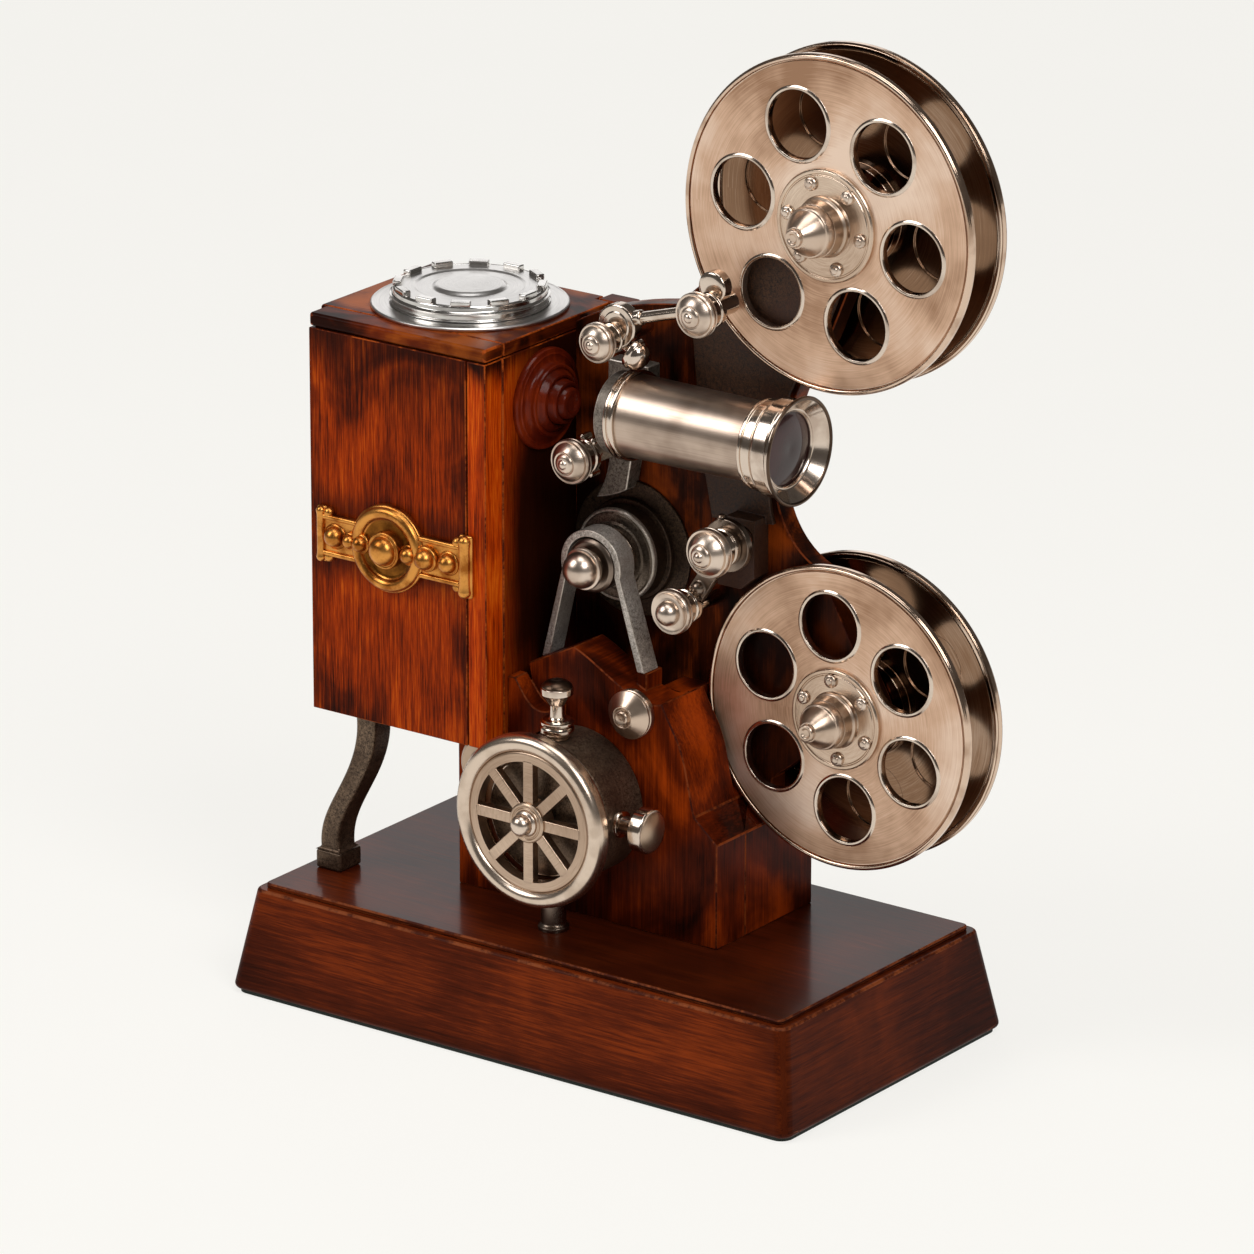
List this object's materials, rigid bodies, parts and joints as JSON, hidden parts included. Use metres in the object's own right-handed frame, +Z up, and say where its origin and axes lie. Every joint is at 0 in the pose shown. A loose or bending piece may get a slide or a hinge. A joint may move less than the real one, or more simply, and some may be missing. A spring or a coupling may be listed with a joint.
{
  "type": "projector music box",
  "caption": "Hand-cranked music box shaped as an old cine projector, with a lamp house, lens and two turning reels on a sloped base.",
  "frame": {"origin": "centre of the base's underside, where it rests", "axes": "+Z up, +X along the base towards the lens, -Y is the front with the hand wheel"},
  "size_m": [0.1695, 0.0858, 0.2316],
  "materials": {
    "mahogany": "dark red-brown stained wood under satin lacquer",
    "lamp_wood": "orange-brown stained wood with burnt edges under gloss lacquer",
    "nickel": "warm brushed nickel plate",
    "bright_nickel": "polished nickel plate",
    "iron": "dark speckled cast iron",
    "leg_iron": "olive-brown patinated iron",
    "brass": "antiqued brass",
    "glass": "dark coated lens glass",
    "felt": "dark green-black felt",
    "belt": "round black rubber belt",
    "steel": "plain steel"
  },
  "bodies": {
    "root": {"arm_face_plate": "iron", "base_felt": "felt", "base_plinth": "mahogany", "base_screws": "steel", "base_top": "mahogany", "body_plate": "mahogany", "brass_ornament": "brass", "brass_studs": "brass", "centre_ball": "bright_nickel", "centre_drum": "iron", "chimney_cap": "bright_nickel", "chimney_flange": "bright_nickel", "condenser_boss": "lamp_wood", "drive_belts": "belt", "drum_housing": "iron", "drum_knobs": "bright_nickel", "drum_post": "nickel", "drum_strap": "iron", "idler_stud": "steel", "lamp_house_box": "lamp_wood", "lamp_house_front": "lamp_wood", "lens_barrel": "nickel", "lens_bracket": "iron", "lens_flare": "bright_nickel", "lens_glass": "glass", "lens_rear_ring": "bright_nickel", "lid_board": "lamp_wood", "lid_cleats": "lamp_wood", "lower_guide_rollers": "bright_nickel", "movement_frame": "brass", "music_comb": "steel", "pedestal_box": "mahogany", "pedestal_front": "mahogany", "pedestal_knobs": "nickel", "reel_bushes": "brass", "roller_link": "nickel", "side_guide_roller": "bright_nickel", "support_leg": "leg_iron", "tie_rod": "nickel", "upper_guide_rollers": "bright_nickel"},
    "crank": {"hand_wheel": "bright_nickel", "hand_wheel_cap": "bright_nickel", "crank_shaft": "steel", "crank_pulley": "brass"},
    "cylinder": {"music_cylinder": "brass"},
    "idler": {"idler_pulley": "brass"},
    "upper_reel": {"upper_reel_front_flange": "nickel", "upper_reel_rear_flange": "nickel", "upper_reel_axle": "steel", "upper_reel_hub_disc": "nickel", "upper_reel_hub_cone": "bright_nickel", "upper_reel_hub_screws": "bright_nickel", "upper_reel_pulley": "brass"},
    "lower_reel": {"lower_reel_front_flange": "nickel", "lower_reel_rear_flange": "nickel", "lower_reel_axle": "steel", "lower_reel_hub_disc": "nickel", "lower_reel_hub_cone": "bright_nickel", "lower_reel_hub_screws": "bright_nickel", "lower_reel_pulley": "brass"}
  },
  "joints": [
    {"name": "hand_wheel_turn", "type": "hinge", "parent": "root", "child": "crank", "pos_m": [-0.0012, -0.0297, 0.0545], "axis": [0, 1, 0], "continuous": true},
    {"name": "cylinder_turn", "type": "hinge", "parent": "root", "child": "cylinder", "pos_m": [-0.0154, 0.005, 0.0455], "axis": [1, 0, 0], "continuous": true},
    {"name": "idler_turn", "type": "hinge", "parent": "root", "child": "idler", "pos_m": [0.006, 0.026, 0.148], "axis": [0, 1, 0], "continuous": true},
    {"name": "upper_reel_turn", "type": "hinge", "parent": "root", "child": "upper_reel", "pos_m": [0.0524, 0.0133, 0.1934], "axis": [0, 1, 0], "continuous": true},
    {"name": "lower_reel_turn", "type": "hinge", "parent": "root", "child": "lower_reel", "pos_m": [0.0563, 0.0133, 0.0804], "axis": [0, 1, 0], "continuous": true}
  ],
  "couplings": [
    {"joint": "cylinder_turn", "follows": "hand_wheel_turn", "ratio": 0.05},
    {"joint": "idler_turn", "follows": "hand_wheel_turn", "ratio": 0.67532},
    {"joint": "upper_reel_turn", "follows": "hand_wheel_turn", "ratio": 0.67532},
    {"joint": "lower_reel_turn", "follows": "hand_wheel_turn", "ratio": 0.67532}
  ]
}
